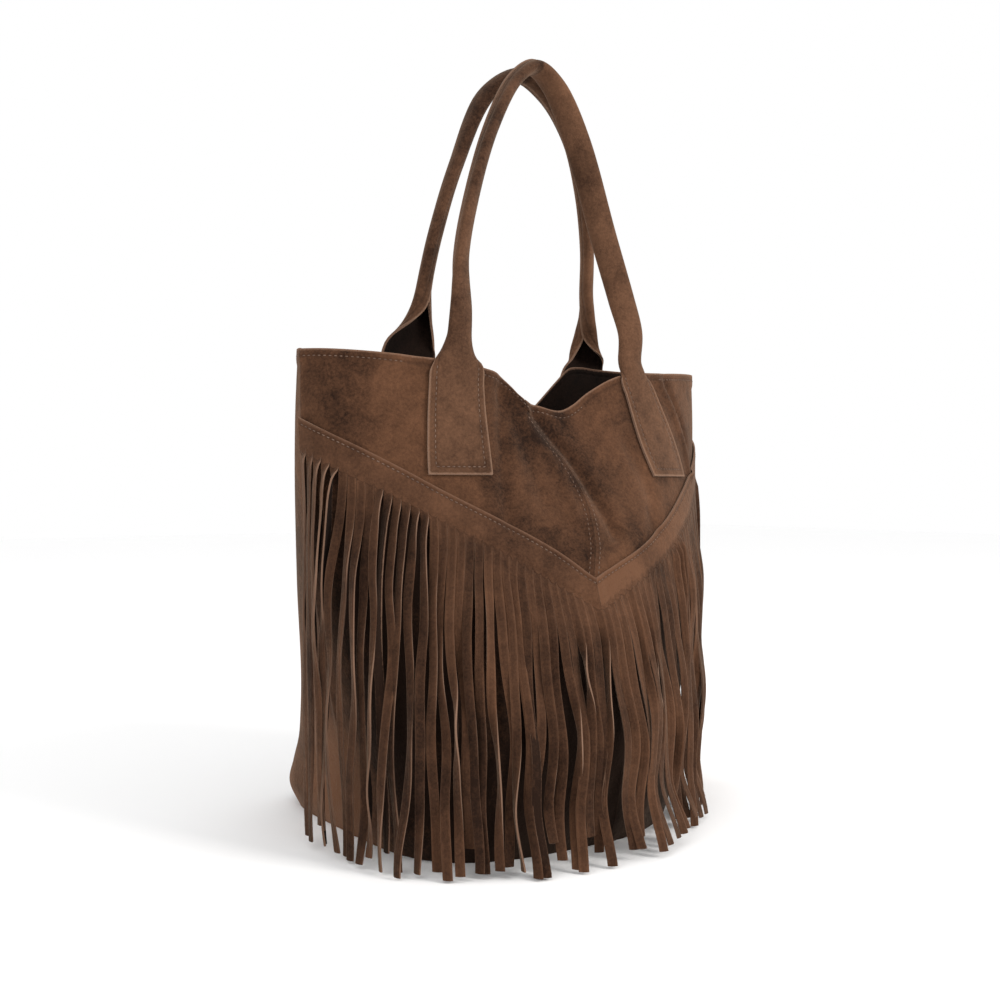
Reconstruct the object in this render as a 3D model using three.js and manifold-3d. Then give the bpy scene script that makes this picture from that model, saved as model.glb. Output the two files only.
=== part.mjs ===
// Fringed suede shopper with two folded-strip handles.
// Millimetres, +Z up. X runs along the mouth and -Y is the fringed front.
// The origin is the middle of the flat base, on the surface that the bag stands on.
import * as THREE from 'three';
import Module from 'manifold-3d';
import { mergeVertices } from 'three/addons/utils/BufferGeometryUtils.js';

const wasm = await Module();
wasm.setup();

// ---- Driving dimensions -------------------------------------------------------------------

const SUEDE = 2;                // thickness of the panels, base and handle strips
const FRINGE_SUEDE = 1.6;       // the fringe is cut from thinner suede
const CLEARANCE = 0.3;          // gap between pieces that are sewn face to face
const LAY_GAP = 1.1;            // gap over a curved panel, so that flat facets stay apart

const SEAM_TOP = 380;           // height of the rim at the side seams
const FRONT_SAG = 41;           // how far the middle of the front rim sags between the handles
const FRONT_SAG_WIDTH = 44;     // half width of that sag
const FRONT_TAB_DROP = 10;      // the front handle pulls the rim down a little at its tabs
const BACK_SAG = 58;            // the back rim sags further and over a wider stretch
const BACK_SAG_WIDTH = 62;
const BACK_TAB_RISE = 7;        // and is held up at its tabs
const TAB_PULL_WIDTH = 55;      // half width of the stretch that a tab pulls up or down

const BASE_SLACK = 0.4;         // further room for the base, whose outline has straight stretches

const V_POINT = 203;            // height of the fringe's top edge at the point of the V
const V_SLOPE = 0.605;          // rise of that edge for each millimetre away from the middle
const BAND_HEIGHT = 20;         // uncut band of the fringe above its slits
const BAND_OVERLAP = 3;         // the strands start this far inside the band
const STRANDS = 35;             // strands on each half of the front
const STRAND_FILL = 0.86;       // share of the pitch that a strand takes, the slit takes the rest
const TIP_HEIGHTS = [2, 5, 3, 7, 2.5, 4]; // the hand-cut tips end at slightly uneven heights
const SETTLE = 80;              // drop over which a strand leaves the panel and hangs free

const STRIP_WIDTH = 52;         // cut width of a handle strip, and so of its flat tabs
const TAB_X = 93;               // distance of each tab from the middle of the bag
const TAB_BOTTOM = 283;         // height of the tabs' lower edge
const NECK_HEIGHT = 30;         // height over the rim in which the strip rolls up
const LIFT_HEIGHT = 14;         // height over the rim in which it leaves the wall
const ROLL_TURN = 0.95;         // share of a full turn that the strip is rolled through
const NEARLY_FLAT = 0.01;       // roll of the flat tabs, so that their section's radius is finite
const OVAL_WIDE = 1.32;         // the rolled strip is pressed flat: wider than a circle
const OVAL_DEEP = 0.62;         // and shallower

// Plan of the body at six heights. Each quarter of it is a superellipse with its own half width,
// depth and squareness. 'lean' makes the belly fuller on the right, 'cave' lets the rim fall in.
const LEVELS = [
  {
    z: 0, left: 152, right: 138, front: 128, back: 146,
    leftSquare: 3.6, rightSquare: 1.7, backSquare: 5, lean: 0, cave: 0,
  },
  {
    z: 30, left: 163, right: 148, front: 140, back: 158,
    leftSquare: 3.4, rightSquare: 1.65, backSquare: 5, lean: 0, cave: 0,
  },
  {
    z: 90, left: 171, right: 158, front: 146, back: 141,
    leftSquare: 2.8, rightSquare: 1.55, backSquare: 3.4, lean: 0, cave: 0,
  },
  {
    z: 200, left: 190, right: 183, front: 113, back: 108,
    leftSquare: 2.2, rightSquare: 1.6, backSquare: 2.8, lean: 12, cave: 0,
  },
  {
    z: 325, left: 201, right: 200, front: 72, back: 58,
    leftSquare: 1.9, rightSquare: 1.7, backSquare: 2.8, lean: 5, cave: 16,
  },
  {
    z: 390, left: 201.5, right: 201.5, front: 60, back: 33,
    leftSquare: 1.7, rightSquare: 1.7, backSquare: 3, lean: 0, cave: 28,
  },
];

// Plan of the curtain that the loose strands hang in, in front of the body.
const CURTAIN = [
  { z: 0, left: 203, right: 199, front: 174, leftSquare: 2.6, rightSquare: 1.3, lean: 0, cave: 0 },
  { z: 40, left: 201.5, right: 200, front: 164, leftSquare: 2.5, rightSquare: 1.32, lean: 0, cave: 0 },
  { z: 90, left: 201.5, right: 202, front: 158, leftSquare: 2.5, rightSquare: 1.36, lean: 0, cave: 0 },
  { z: 200, left: 201.5, right: 198, front: 119, leftSquare: 2.3, rightSquare: 1.55, lean: 12, cave: 0 },
  { z: 325, left: 201.5, right: 201.5, front: 78, leftSquare: 1.9, rightSquare: 1.7, lean: 5, cave: 16 },
];

const CAVE_WIDTH = 60;          // half width of the stretch of front rim that falls in
const LEAN_PEAK = 2.6;          // makes 'lean' the greatest value of x * (1 - x * x), for x from 0 to 1

// Divisions of the sheets: across, and up or along.
const PANEL_GRID = [16, 11];
const BAND_GRID = [22, 1];
const STRAND_GRID = [1, 4];
const HANDLE_GRID = [8, 40];
const BASE_STEPS = 16;          // steps of the base's outline in each quarter

const LEFT = -1;
const RIGHT = 1;
const FRONT = -1;
const BACK = 1;

// ---- Solids from sheets ---------------------------------------------------------------------

// Six times the signed volume of a triangle mesh: negative when its faces point inward.
function signedVolume(geometry) {
  const corners = [0, 1, 2].map(() => new THREE.Vector3());
  const { index, attributes: { position } } = geometry;
  let volume = 0;
  for (let i = 0; i < index.count; i += 3) {
    corners.forEach((corner, k) => corner.fromBufferAttribute(position, index.getX(i + k)));
    volume += corners[0].dot(corners[1].clone().cross(corners[2]));
  }
  return volume;
}

// Merges the vertices that neighbouring faces share and turns the faces outward.
function closed(geometry) {
  geometry.deleteAttribute('normal');
  geometry.deleteAttribute('uv');
  const merged = mergeVertices(geometry, 1e-3);
  if (signedVolume(merged) < 0) merged.index.array.reverse();
  return merged;
}

// A sheet of even thickness. place(across, along) gives the middle of the sheet and its outward
// direction, for across and along from 0 to 1.
function sheet(columns, rows, thickness, place) {
  const geometry = new THREE.BoxGeometry(1, 1, 1, columns, 1, rows);
  const position = geometry.attributes.position;
  for (let i = 0; i < position.count; i++) {
    const { point, outward } = place(position.getX(i) + 0.5, position.getZ(i) + 0.5);
    point.addScaledVector(outward, position.getY(i) * thickness);
    position.setXYZ(i, point.x, point.y, point.z);
  }
  return closed(geometry);
}

function toSolid(geometry) {
  const vertProperties = geometry.attributes.position.array;
  const triVerts = new Uint32Array(geometry.index.array);
  return new wasm.Manifold(new wasm.Mesh({ numProp: 3, vertProperties, triVerts }));
}

function toGeometry(solid) {
  const { vertProperties, triVerts } = solid.getMesh();
  const geometry = new THREE.BufferGeometry();
  geometry.setAttribute('position', new THREE.BufferAttribute(vertProperties, 3));
  geometry.setIndex(new THREE.BufferAttribute(triVerts, 1));
  return geometry;
}

// ---- The body's surface -----------------------------------------------------------------------

// Reads a table of levels at any height, smoothly.
function levelReader(levels) {
  const keys = Object.keys(levels[0]).filter((key) => key !== 'z');
  const heights = Float32Array.from(levels, (level) => level.z);
  const values = Float32Array.from(levels.flatMap((level) => keys.map((key) => level[key])));
  const smooth = new THREE.CubicInterpolant(heights, values, keys.length);
  return (z) => {
    const height = THREE.MathUtils.clamp(z, levels[0].z, levels.at(-1).z);
    const row = smooth.evaluate(height);
    return Object.fromEntries(keys.map((key, i) => [key, row[i]]));
  };
}

// One quarter of the plan at one height, from the side seam to the middle of the front or back.
class QuarterPlan extends THREE.Curve {
  constructor(level, side, face) {
    super();
    this.level = level;
    this.side = side;
    this.face = face;
  }

  getPoint(t, target = new THREE.Vector3()) {
    const { level, side, face } = this;
    const angle = t * Math.PI / 2;
    const halfWidth = side === LEFT ? level.left : level.right;
    const frontSquare = side === LEFT ? level.leftSquare : level.rightSquare;
    const power = 2 / (face === FRONT ? frontSquare : level.backSquare);
    const share = Math.max(Math.cos(angle), 0) ** power;
    const depth = Math.max(Math.sin(angle), 0) ** power;
    const x = side * share * halfWidth;
    if (face === BACK) return target.set(x, depth * level.back, 0);
    const lean = LEAN_PEAK * level.lean * side * share * (1 - share * share);
    const cave = level.cave * Math.exp(-((x / CAVE_WIDTH) ** 2));
    return target.set(x, -depth * level.front - lean + cave, 0);
  }
}

// Point at a share of the way from the side seam to the middle, at height z, moved outward.
function surface(readLevel, side, face, share, z, offset = 0) {
  const plan = new QuarterPlan(readLevel(z), side, face);
  const point = plan.getPointAt(share);
  const tangent = plan.getTangentAt(THREE.MathUtils.clamp(share, 0.002, 0.998));
  const outward = new THREE.Vector3(tangent.y, -tangent.x, 0);
  if (outward.y * face < 0 || (share < 0.01 && outward.x * side < 0)) outward.negate();
  point.z = z;
  point.addScaledVector(outward, offset);
  return { point, outward };
}

const bodyLevel = levelReader(LEVELS);
const curtainLevel = levelReader(CURTAIN);
const onBody = (side, face, share, z, offset) => surface(bodyLevel, side, face, share, z, offset);

// Length of the plan from the side seam to the middle, which turns clearances into shares.
const quarterLength = (side, face, z) => new QuarterPlan(bodyLevel(z), side, face).getLength();

// Height of the rim above a point at x.
function rimHeight(x, face) {
  const width = face === FRONT ? FRONT_SAG_WIDTH : BACK_SAG_WIDTH;
  const sag = (face === FRONT ? FRONT_SAG : BACK_SAG) * Math.exp(-(Math.abs(x / width) ** 3));
  const pull = Math.exp(-(((Math.abs(x) - TAB_X) / TAB_PULL_WIDTH) ** 2));
  return SEAM_TOP - sag + pull * (face === FRONT ? -FRONT_TAB_DROP : BACK_TAB_RISE);
}

// ---- Panels and base ----------------------------------------------------------------------

// One panel: a quarter of the wall, from the base to the rim, between a side seam and a centre seam.
function panel(side, face) {
  const gap = CLEARANCE / 2 / quarterLength(side, face, 0);
  return sheet(...PANEL_GRID, SUEDE, (across, up) => {
    const share = THREE.MathUtils.lerp(gap, 1 - gap, across);
    const rim = rimHeight(onBody(side, face, share, SEAM_TOP).point.x, face);
    return onBody(side, face, share, up * rim);
  });
}

// The flat base, just inside the lower edge of the four panels.
function base() {
  const outline = [];
  const inset = -(SUEDE / 2 + CLEARANCE + BASE_SLACK);
  const order = [[LEFT, FRONT], [RIGHT, FRONT], [RIGHT, BACK], [LEFT, BACK]];
  order.forEach(([side, face], quarter) => {
    for (let i = 0; i < BASE_STEPS; i++) {
      const share = quarter % 2 === 0 ? i / BASE_STEPS : 1 - i / BASE_STEPS;
      const { point } = onBody(side, face, share, 0, inset);
      outline.push(new THREE.Vector2(point.x, point.y));
    }
  });
  const settings = { depth: SUEDE, bevelEnabled: false };
  return closed(new THREE.ExtrudeGeometry(new THREE.Shape(outline), settings));
}

// ---- Fringe -------------------------------------------------------------------------------

const FRINGE_OFFSET = SUEDE / 2 + LAY_GAP + FRINGE_SUEDE / 2;

// Height of the fringe's slanting top edge at a share of the way from the side seam. The share
// gives x only once the height is known, so the two are found together.
function edgeHeight(side, share) {
  let z = V_POINT;
  for (let pass = 0; pass < 12; pass++) {
    z = V_POINT + V_SLOPE * Math.abs(onBody(side, FRONT, share, z).point.x);
  }
  return z;
}

function fringe(side) {
  const gap = CLEARANCE / 2 / quarterLength(side, FRONT, V_POINT);
  const band = sheet(...BAND_GRID, FRINGE_SUEDE, (across, up) => {
    const share = THREE.MathUtils.lerp(gap, 1 - gap, across);
    const z = edgeHeight(side, share) - (1 - up) * (BAND_HEIGHT + BAND_OVERLAP);
    return onBody(side, FRONT, share, z, FRINGE_OFFSET);
  });
  let cut = toSolid(band);
  for (let k = 0; k < STRANDS; k++) {
    const middle = (k + 0.5) / STRANDS;
    const top = edgeHeight(side, middle) - BAND_HEIGHT;
    const tip = TIP_HEIGHTS[k % TIP_HEIGHTS.length];
    const strand = sheet(...STRAND_GRID, FRINGE_SUEDE, (across, up) => {
      const share = middle + (across - 0.5) * STRAND_FILL / STRANDS;
      const z = THREE.MathUtils.lerp(tip, top, up);
      const free = THREE.MathUtils.smoothstep(top - z, 0, SETTLE);
      const lying = onBody(side, FRONT, share, z, FRINGE_OFFSET);
      const hanging = surface(curtainLevel, side, FRONT, share, z);
      lying.point.lerp(hanging.point, free);
      lying.outward.lerp(hanging.outward, free).normalize();
      return lying;
    });
    cut = cut.add(toSolid(strand));
  }
  return toGeometry(cut);
}

// ---- Handles ------------------------------------------------------------------------------

// Route of each handle's middle line, from its left neck over the top to its right neck, with the
// heading in degrees of the strip's wide direction, which turns half round like a ribbon.
const FRONT_ROUTE = [
  [-93, -55, 412, 15], [-89, -50, 456, 50], [-79, -48, 500, 55], [-57, -44, 562, 71],
  [-28, -38, 610, 86], [-5, -34, 624.5, 94], [15, -34, 612, 110], [38, -37, 568, 135],
  [62, -43, 489, 144], [76, -50, 436, 150], [83, -54, 406, 168],
];
const REAR_ROUTE = [
  [-78, 30, 424, 205], [-75, 25, 456, 232], [-69, 20, 490, 235], [-55, 12, 544, 246],
  [-30, 2, 607, 262], [-2, -6, 626.5, 270], [28, -6, 614, 262], [56, -2, 583, 250],
  [77, 6, 540, 240], [90, 14, 490, 238], [94, 20, 452, 238], [99, 26, 428, 262],
];

// How far round the wall from its middle each tab is sewn, and how far it slants out at the bottom.
const TABS = {
  [FRONT]: { [LEFT]: { distance: 95, slant: 0 }, [RIGHT]: { distance: 85, slant: 23 } },
  [BACK]: { [LEFT]: { distance: 85, slant: 23 }, [RIGHT]: { distance: 99, slant: 0 } },
};
const TAB_OFFSET = SUEDE + LAY_GAP;

// Point of a tab, 'sideways' nearer the middle of the bag than the tab's own middle line.
function onTab(side, face, z, sideways = 0) {
  const { distance, slant } = TABS[face][side];
  const drop = THREE.MathUtils.clamp((SEAM_TOP - z) / (SEAM_TOP - TAB_BOTTOM), 0, 1);
  const share = 1 - (distance + slant * drop - sideways) / quarterLength(side, face, z);
  return onBody(side, face, THREE.MathUtils.clamp(share, 0, 1), z, TAB_OFFSET);
}

// Height at which a handle's tabs come clear of the rim.
const clearOfRim = (face) => rimHeight(TAB_X + STRIP_WIDTH / 2, face);

// Middle line of one tab, from its lower edge to just above the rim.
function tabLine(side, face) {
  const rim = clearOfRim(face);
  const heights = [TAB_BOTTOM, (TAB_BOTTOM + rim) / 2, rim, rim + 8];
  return heights.map((z) => onTab(side, face, z).point);
}

// A strip whose flat ends lie on the wall and whose middle is rolled into a flattened tube.
function handle(face, route) {
  const leftTab = tabLine(LEFT, face);
  const rightTab = tabLine(RIGHT, face).reverse();
  const neckToNeck = route.map(([x, y, z]) => new THREE.Vector3(x, y, z));
  const line = new THREE.CatmullRomCurve3([...leftTab, ...neckToNeck, ...rightTab]);
  const start = face === FRONT ? 0 : 180;
  const headings = [...leftTab.map(() => start), ...route.map((stop) => stop[3])];
  headings.push(...rightTab.map(() => start + 180));
  const rim = clearOfRim(face);
  return sheet(...HANDLE_GRID, SUEDE, (across, along) => {
    const middle = line.getPointAt(along);
    const tangent = line.getTangentAt(along);
    const { z } = middle;
    const stop = line.getUtoTmapping(along) * (headings.length - 1);
    const before = Math.min(Math.floor(stop), headings.length - 2);
    const degrees = THREE.MathUtils.lerp(headings[before], headings[before + 1], stop - before);
    const heading = THREE.MathUtils.degToRad(degrees);
    const wide = new THREE.Vector3(Math.cos(heading), Math.sin(heading), 0);
    wide.addScaledVector(tangent, -wide.dot(tangent)).normalize();
    const outside = wide.clone().cross(tangent);
    // The strip's section is an arc that closes up as 'roll' goes from 0 to 1.
    const roll = THREE.MathUtils.smoothstep(z, rim - 4, rim + NECK_HEIGHT);
    const turn = Math.max(roll, NEARLY_FLAT) * 2 * Math.PI * ROLL_TURN;
    const radius = STRIP_WIDTH / turn;
    const angle = (across - 0.5) * turn;
    const wideScale = THREE.MathUtils.lerp(1, OVAL_WIDE, roll);
    const deepScale = THREE.MathUtils.lerp(1, OVAL_DEEP, roll);
    const sideways = radius * Math.sin(angle) * wideScale;
    const inward = radius * (1 - Math.cos(angle) - roll) * deepScale;
    const point = middle.addScaledVector(wide, sideways).addScaledVector(outside, -inward);
    const outward = wide.clone().multiplyScalar(Math.sin(angle) / wideScale);
    outward.addScaledVector(outside, Math.cos(angle) / deepScale).normalize();
    // Below the rim the strip lies on the wall.
    const side = along < 0.5 ? LEFT : RIGHT;
    const tab = onTab(side, face, z, -face * (across - 0.5) * STRIP_WIDTH);
    const lift = THREE.MathUtils.smoothstep(z, rim - 2, rim + LIFT_HEIGHT);
    tab.point.lerp(point, lift);
    tab.outward.lerp(outward, lift).normalize();
    return tab;
  });
}

// ---- The bag ------------------------------------------------------------------------------

const bag = new THREE.Group();

function add(name, geometry, colour) {
  const material = new THREE.MeshStandardMaterial({ color: colour, roughness: 0.95, metalness: 0 });
  const mesh = new THREE.Mesh(geometry, material);
  mesh.name = name;
  bag.add(mesh);
}

const BODY_BROWN = 0x5c4030;
const STRIP_BROWN = 0x6b5040;

add('front_panel_left', panel(LEFT, FRONT), BODY_BROWN);
add('front_panel_right', panel(RIGHT, FRONT), BODY_BROWN);
add('back_panel_left', panel(LEFT, BACK), BODY_BROWN);
add('back_panel_right', panel(RIGHT, BACK), BODY_BROWN);
add('base_panel', base(), BODY_BROWN);
add('front_fringe_left', fringe(LEFT), STRIP_BROWN);
add('front_fringe_right', fringe(RIGHT), STRIP_BROWN);
add('front_handle', handle(FRONT, FRONT_ROUTE), STRIP_BROWN);
add('rear_handle', handle(BACK, REAR_ROUTE), STRIP_BROWN);

export default bag;
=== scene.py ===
# A fringed suede tote: four suede panels on a suede base, two fringes sewn on in a V across the
# front, and two shoulder handles rolled from flat strips whose ends are sewn on as tabs.
import math

import bpy
import numpy as np
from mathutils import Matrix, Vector


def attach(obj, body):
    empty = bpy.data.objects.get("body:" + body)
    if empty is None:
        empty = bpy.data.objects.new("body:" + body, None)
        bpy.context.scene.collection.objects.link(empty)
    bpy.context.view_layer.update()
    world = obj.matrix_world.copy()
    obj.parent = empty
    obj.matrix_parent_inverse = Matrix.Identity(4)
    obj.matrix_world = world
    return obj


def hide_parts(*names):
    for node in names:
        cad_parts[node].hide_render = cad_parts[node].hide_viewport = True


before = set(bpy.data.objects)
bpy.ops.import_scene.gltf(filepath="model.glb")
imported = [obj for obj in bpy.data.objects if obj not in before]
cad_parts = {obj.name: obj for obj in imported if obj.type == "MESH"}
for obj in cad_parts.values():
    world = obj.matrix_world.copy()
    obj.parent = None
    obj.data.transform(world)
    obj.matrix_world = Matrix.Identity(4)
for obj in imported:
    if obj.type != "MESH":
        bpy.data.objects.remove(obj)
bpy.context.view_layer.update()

scene = bpy.context.scene


# ---- Studio ----
# A pale floor under soft white light. The bag is seen level, from front left, at shoulder distance.

eye = bpy.data.objects.new("camera", bpy.data.cameras.new("camera"))
scene.collection.objects.link(eye)
eye.location = (-0.610, -0.846, 0.272)
looking = Vector((0.574, 0.819, 0))
eye.rotation_euler = looking.to_track_quat("-Z", "Y").to_euler()
eye.data.lens = 43.56
eye.data.shift_y = -0.011
scene.camera = eye


def add_lamp(name, place, width, watts, colour):
    """A square lamp that shines at the middle of the bag."""
    lamp = bpy.data.objects.new(name, bpy.data.lights.new(name, "AREA"))
    scene.collection.objects.link(lamp)
    lamp.location = place
    aim = Vector((0, 0, 0.3)) - Vector(place)
    lamp.rotation_euler = aim.to_track_quat("-Z", "Y").to_euler()
    lamp.data.size = width
    lamp.data.energy = watts
    lamp.data.color = colour


add_lamp("key", place=(1.0, -1.9, 1.3), width=0.8, watts=34, colour=(1, 0.97, 0.94))
add_lamp("fill", place=(-1.9, -0.9, 0.9), width=1.2, watts=8, colour=(0.97, 0.98, 1))

sky = bpy.data.worlds.new("white_room")
scene.world = sky
sky.use_nodes = True
glow = sky.node_tree.nodes["Background"].inputs
glow["Color"].default_value = (1, 1, 1, 1)
glow["Strength"].default_value = 1.0
scene.view_settings.view_transform = "Standard"

bpy.ops.object.select_all(action="DESELECT")
bpy.ops.mesh.primitive_plane_add(size=12, location=(0, 0, -0.0005))
floor = bpy.context.object
floor.name = "floor"
paper = bpy.data.materials.new("pale_floor")
paper.use_nodes = True
paper_look = paper.node_tree.nodes["Principled BSDF"].inputs
paper_look["Base Color"].default_value = (0.98, 0.98, 0.98, 1)
paper_look["Roughness"].default_value = 0.9
floor.data.materials.append(paper)


# ---- Front panels ----
# Two panels of 2 mm suede, joined by a seam down the middle of the front and by one at each side.
# They stand on the base, bulge at the bottom and sag between the handles, where the seam is drawn
# to the left and a fold runs down beside it. The top edge is turned in and stitched.

LEFT, RIGHT = 0, 1
SIGN = (-1, 1)
FRONT, BACK = -1, 1
SUEDE = 0.002
SEAM_TOP = 0.380

# Plan of the wall by height: half widths left and right, depths front and back, squareness of the
# left front, right front and back, how far the front leans and how far its middle caves in.
BODY_PLAN = np.array([
    (0, 0.1570, 0.1380, 0.128, 0.152, 3.6, 1.70, 5.0, 0, 0),
    (0.018, 0.1640, 0.1450, 0.136, 0.159, 3.4, 1.65, 5.0, 0, 0),
    (0.036, 0.1630, 0.1490, 0.140, 0.155, 3.4, 1.65, 4.8, 0, 0),
    (0.060, 0.1640, 0.1530, 0.144, 0.147, 3.1, 1.60, 4.2, 0, 0),
    (0.090, 0.1710, 0.1580, 0.146, 0.141, 2.8, 1.55, 3.4, 0, 0),
    (0.200, 0.1900, 0.1830, 0.113, 0.108, 2.2, 1.60, 2.8, 0.012, 0),
    (0.325, 0.2010, 0.2000, 0.072, 0.058, 1.9, 1.70, 2.8, 0.005, 0.016),
    (0.390, 0.2015, 0.2015, 0.060, 0.033, 1.7, 1.70, 3.0, 0, 0.028),
])
LEAN_PEAK = 2.6  # brings the peak of x * (1 - x * x) up to 1
CAVE_WIDTH = 0.060


def read(table, position):
    """Reads a table's columns smoothly at positions along its first column."""
    stops, values = table[:, 0], table[:, 1:]
    last = len(stops) - 1
    position = np.clip(position, stops[0], stops[-1])
    low = np.clip(np.searchsorted(stops, position, side="right") - 1, 0, last - 1)
    high = low + 1
    before = np.where(low > 0, low - 1, high)
    after = np.where(high < last, high + 1, low)
    span = stops[high] - stops[low]
    t = ((position - stops[low]) / span)[:, None]
    pull_low = (span / 2 / (stops[low] - stops[before]))[:, None]
    pull_high = (span / 2 / (stops[after] - stops[high]))[:, None]
    return ((-pull_low * t ** 3 + 2 * pull_low * t ** 2 - pull_low * t) * values[before]
            + ((1 + pull_low) * t ** 3 - (1.5 + 2 * pull_low) * t ** 2
               + (pull_low - 0.5) * t + 1) * values[low]
            + (-(1 + pull_high) * t ** 3 + (1.5 + pull_high) * t ** 2 + 0.5 * t) * values[high]
            + pull_high * (t ** 3 - t ** 2) * values[after])


def ease(low, high, value):
    """Rises smoothly from 0 at 'low' to 1 at 'high'."""
    t = np.clip((value - low) / (high - low), 0, 1)
    return t * t * (3 - 2 * t)


def bump(value, width):
    """A hill of height 1 over zero."""
    return np.exp(-(value / width) ** 2)


class Wall:
    """The front or back of the bag's plan at every height, from one side seam to the other."""

    STEP, HEIGHT = 0.002, 0.44  # the levels at which the plan is worked out
    PLACES, ANGLES = 321, 400  # points of each half of a level, and of the oval it follows

    def __init__(self, plan, face):
        heights = np.arange(0, self.HEIGHT + self.STEP / 2, self.STEP)
        columns = read(plan, heights).T[:, :, None]
        left, right, front, back, left_square, right_square, back_square, lean, cave = columns
        angle = np.linspace(0, np.pi / 2, self.ANGLES)[None]
        halves, self.length = [], []
        for side, half_width, square in ((-1, left, left_square), (1, right, right_square)):
            power = 2 / (square if face == FRONT else back_square)
            share = np.clip(np.cos(angle), 0, 1) ** power
            depth = np.clip(np.sin(angle), 0, 1) ** power
            x = side * share * half_width
            if face == FRONT:
                y = (-depth * front - LEAN_PEAK * lean * side * share * (1 - share ** 2)
                     + cave * bump(x, CAVE_WIDTH))
            else:
                y = depth * back
            steps = np.hypot(np.diff(x), np.diff(y))
            run = np.concatenate([np.zeros((len(heights), 1)), np.cumsum(steps, axis=1)], axis=1)
            self.length.append(run[:, -1])
            places = np.linspace(0, 1, self.PLACES)
            half = np.array([[np.interp(places * r[-1], r, value) for value in (xs, ys)]
                             for r, xs, ys in zip(run, x, y)])
            halves.append(half if side < 0 else half[:, :, ::-1])
        self.table = np.concatenate([halves[0], halves[1][:, :, 1:]], axis=2).transpose(0, 2, 1)

    def reach(self, side, height):
        """Length round the wall from the middle to a side seam."""
        level = np.clip(height / self.STEP, 0, len(self.table) - 1)
        return np.interp(level, np.arange(len(self.table)), self.length[side])

    def reach_at(self, across, height):
        return np.where(across < 0, self.reach(LEFT, height), self.reach(RIGHT, height))

    def at(self, across, height):
        """Points of the wall, 'across' running from -1 at the left seam to 1 at the right."""
        column = (np.clip(across, -1, 1) + 1) * (self.PLACES - 1)
        row = np.clip(height / self.STEP, 0, len(self.table) - 1.001)
        i, j = np.minimum(column.astype(int), 2 * self.PLACES - 3), row.astype(int)
        s, t = (column - i)[:, None], (row - j)[:, None]
        flat = ((self.table[j, i] * (1 - s) + self.table[j, i + 1] * s) * (1 - t)
                + (self.table[j + 1, i] * (1 - s) + self.table[j + 1, i + 1] * s) * t)
        return np.column_stack([flat, height])


WALLS = {FRONT: Wall(BODY_PLAN, FRONT), BACK: Wall(BODY_PLAN, BACK)}
FACING_STEP = 0.006


def facing(wall, across, height, face):
    """Outward directions, level, of points of a wall."""
    ahead = wall.at(np.clip(across + FACING_STEP, -1, 1), height)
    behind = wall.at(np.clip(across - FACING_STEP, -1, 1), height)
    run = ahead - behind
    out = np.column_stack([-run[:, 1], run[:, 0], np.zeros(len(run))]) * face
    return out / np.maximum(np.linalg.norm(out, axis=1), 1e-9)[:, None]


# How far the middle seam is drawn to the right at each height, and how wide the cloth follows.
SEAM_DRIFT = np.array([
    (0, -0.006), (0.15, -0.006), (0.203, -0.006), (0.212, -0.003), (0.225, 0.002),
    (0.240, 0.005), (0.263, 0.006), (0.285, 0.001),
    (0.304, -0.009), (0.325, -0.022), (0.346, -0.034), (0.380, -0.040),
])
DRIFT_WIDTH = 0.085

# Creases of the front: rows of (distance from the middle, height), then depth and half width.
# A depth above 0 is a ridge.
CREASES = [
    (((-0.022, 0.332), (-0.012, 0.316), (0.003, 0.298), (0.012, 0.278), (0.022, 0.252),
      (0.026, 0.236)), -0.0050, 0.0065),
    (((-0.047, 0.372), (-0.052, 0.350), (-0.056, 0.327), (-0.062, 0.287), (-0.067, 0.248)),
     -0.0035, 0.0070),
    (((-0.050, 0.345), (-0.041, 0.315), (-0.036, 0.290), (-0.032, 0.262)), -0.0022, 0.0075),
    (((-0.034, 0.344), (-0.028, 0.322), (-0.016, 0.300), (-0.008, 0.276), (-0.006, 0.250)),
     0.0026, 0.0070),
    (((0.122, 0.366), (0.134, 0.350), (0.142, 0.336), (0.155, 0.311), (0.160, 0.285)),
     0.0028, 0.0045),
    (((0.131, 0.366), (0.143, 0.350), (0.151, 0.336), (0.163, 0.311)), -0.0028, 0.0045),
    (((0.066, 0.310), (0.074, 0.285), (0.078, 0.262), (0.072, 0.242)), -0.0022, 0.0080),
    (((-0.130, 0.374), (-0.136, 0.350), (-0.150, 0.330)), -0.0018, 0.0090),
    (((-0.175, 0.352), (-0.150, 0.334), (-0.135, 0.320)), 0.0016, 0.0110),
]


def creases(distance, height):
    """How far the front's creases push the suede outward."""
    push = np.zeros(len(distance))
    for line, depth, width in CREASES:
        line = np.array(line)
        nearest = np.full(len(distance), np.inf)
        for start, end in zip(line[:-1], line[1:]):
            run = end - start
            along = ((distance - start[0]) * run[0] + (height - start[1]) * run[1]) / (run @ run)
            along = np.clip(along, 0, 1)
            gap = np.hypot(distance - start[0] - along * run[0], height - start[1] - along * run[1])
            nearest = np.minimum(nearest, gap)
        push += depth * bump(nearest, width)
    return push


# Heights and half widths of the ridges along the seams, and the back's ripple.
SEAM_RIDGE, SEAM_RIDGE_WIDTH = 0.0016, 0.0050
LAPPED_EDGE, LAPPED_EDGE_WIDTH, LAPPED_EDGE_PLACE = 0.0006, 0.0020, 0.0045
BACK_SEAM_RIDGE = 0.0012
SIDE_SEAM_RIDGE, SIDE_SEAM_WIDTH, SIDE_SEAM_STIFF = 0.0012, 0.0045, 0.03
RIPPLE, RIPPLES_ACROSS, RIPPLES_UP = 0.0020, 90, 26


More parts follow.
